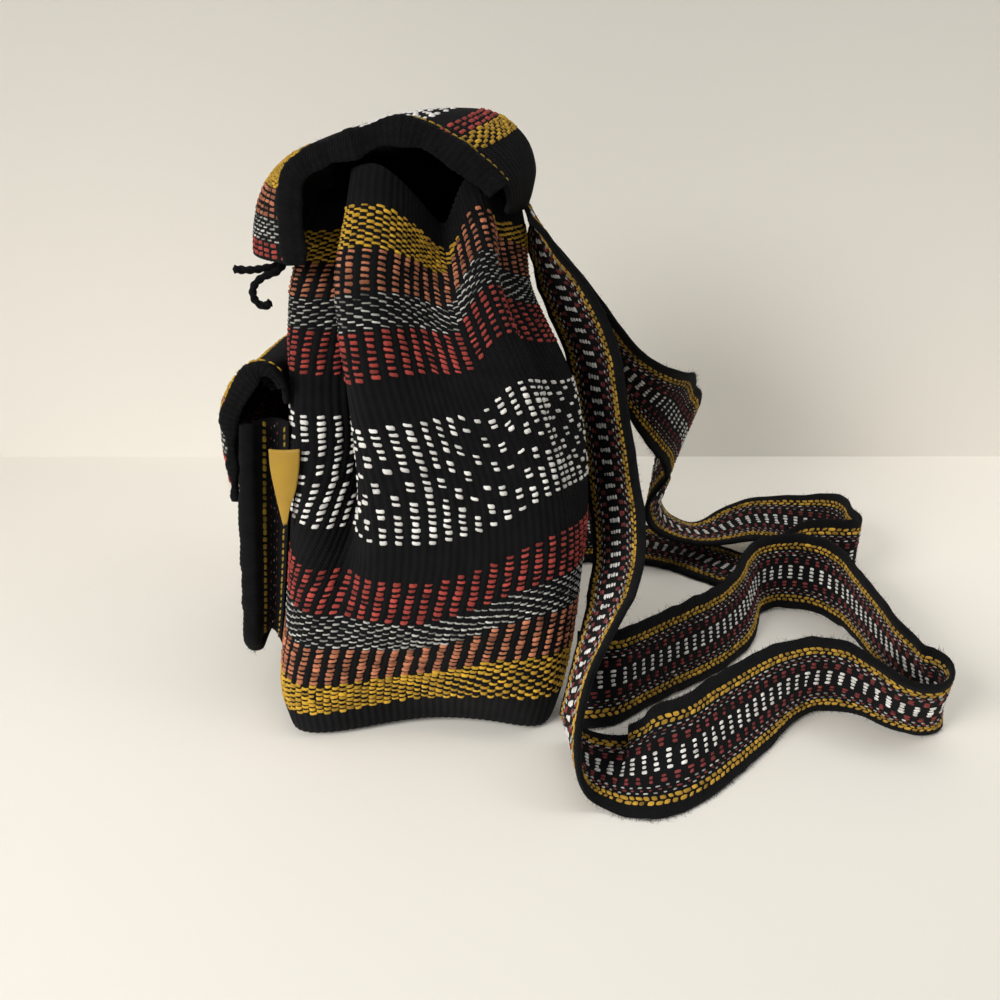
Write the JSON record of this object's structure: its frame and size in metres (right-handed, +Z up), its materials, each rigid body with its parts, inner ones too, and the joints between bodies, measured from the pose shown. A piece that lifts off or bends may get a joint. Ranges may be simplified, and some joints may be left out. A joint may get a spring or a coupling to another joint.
{
  "type": "woven drawstring backpack",
  "caption": "Small striped hand-woven backpack with a gathered mouth under a flap, a front pocket with its own flap, and webbing straps lying beside it.",
  "frame": {"origin": "middle of the base, on the ground", "axes": "+Z up, +X toward the back of the bag where the straps are sewn, -Y toward the near side"},
  "size_m": [0.3339, 0.2763, 0.2632],
  "materials": {
    "bag_cloth": "ribbed weave in black with yellow, orange, red, grey and white bands",
    "flap_cloth": "the same ribbed weave",
    "pocket_cloth": "the same ribbed weave",
    "binding": "fuzzy black yarn",
    "webbing": "warp-faced band in black, yellow, red and white",
    "label": "smooth woven tape, left blank",
    "cord": "fuzzy black yarn"
  },
  "bodies": {
    "root": {"bag_body": "bag_cloth", "top_flap": "flap_cloth", "flap_binding_near": "binding", "flap_binding_far": "binding", "pocket_front": "pocket_cloth", "pocket_gusset": "webbing", "pocket_flap": "pocket_cloth", "pocket_flap_binding_near": "binding", "pocket_flap_binding_far": "binding", "label": "label", "strap_near": "webbing", "strap_far": "webbing", "drawstring_end_upper": "cord", "drawstring_end_lower": "cord"}
  },
  "joints": []
}
